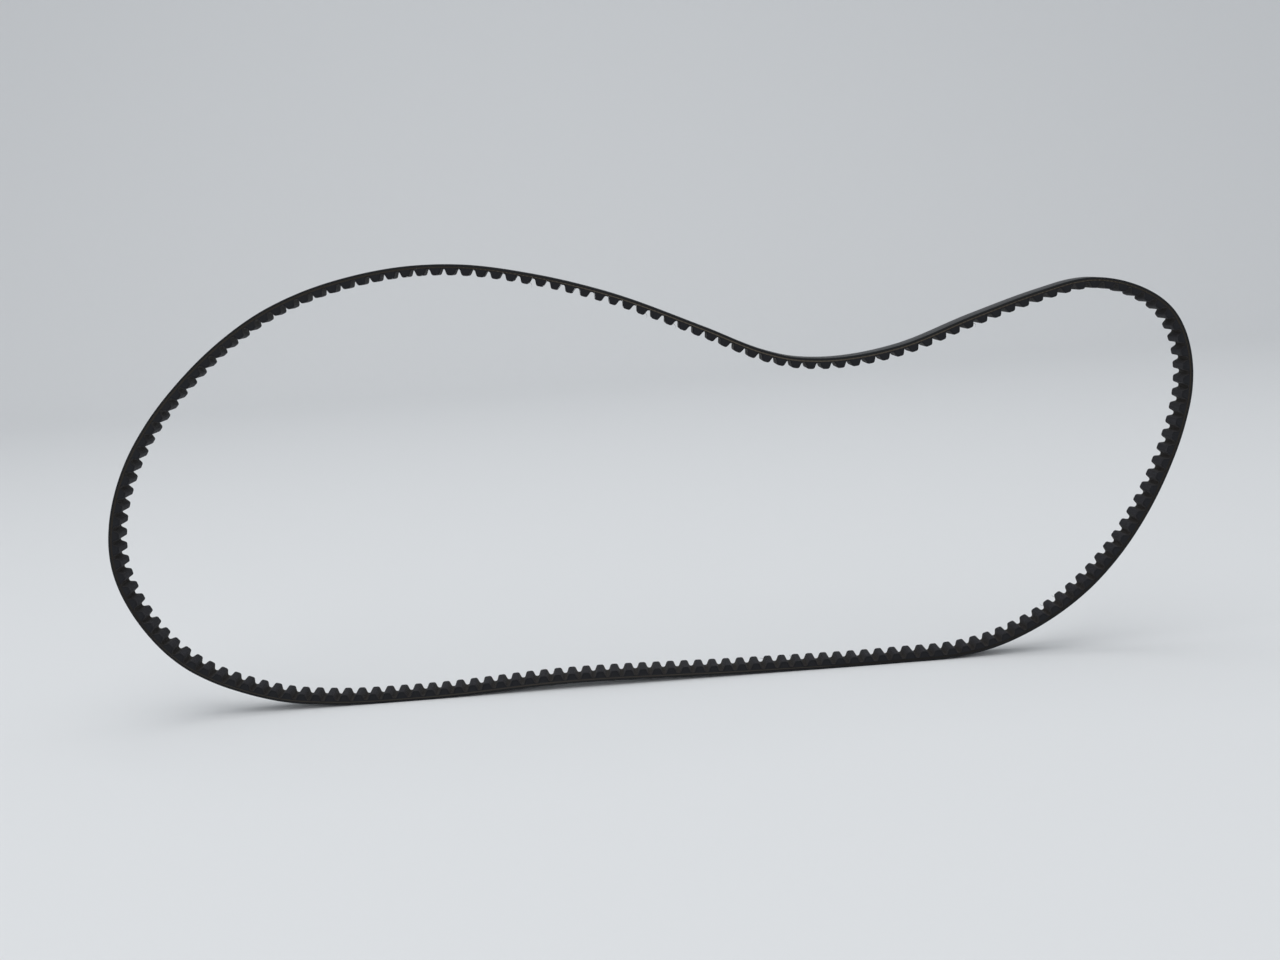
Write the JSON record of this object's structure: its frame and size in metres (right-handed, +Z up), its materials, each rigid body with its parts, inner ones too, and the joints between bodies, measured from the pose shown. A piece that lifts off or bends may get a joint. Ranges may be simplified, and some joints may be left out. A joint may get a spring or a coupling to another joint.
{
  "type": "timing belt",
  "caption": "Endless toothed rubber drive belt with rounded teeth inside a smooth back, standing slack in a loose kidney-shaped loop.",
  "frame": {"origin": "middle of the base of the bounding box, under the loop's middle and half way across the belt's width", "axes": "+Z up from the surface the belt's back rests on, +X along the long side of the loop towards its tighter end, +Y across the belt's width"},
  "size_m": [0.5974, 0.012, 0.2397],
  "materials": {
    "back_rubber": "ground smooth, satin matte, dark blue-grey",
    "glass_cord": "twisted glass fibre dipped in dark latex, olive brown",
    "tooth_rubber": "moulded and cut, matte, near black",
    "nylon_facing": "woven nylon bonded over the teeth, matte black"
  },
  "bodies": {
    "root": {"back_cover": "back_rubber", "tensile_cord_s": "glass_cord", "tensile_cord_z": "glass_cord", "tooth_rubber": "tooth_rubber", "tooth_facing": "nylon_facing"}
  },
  "joints": []
}
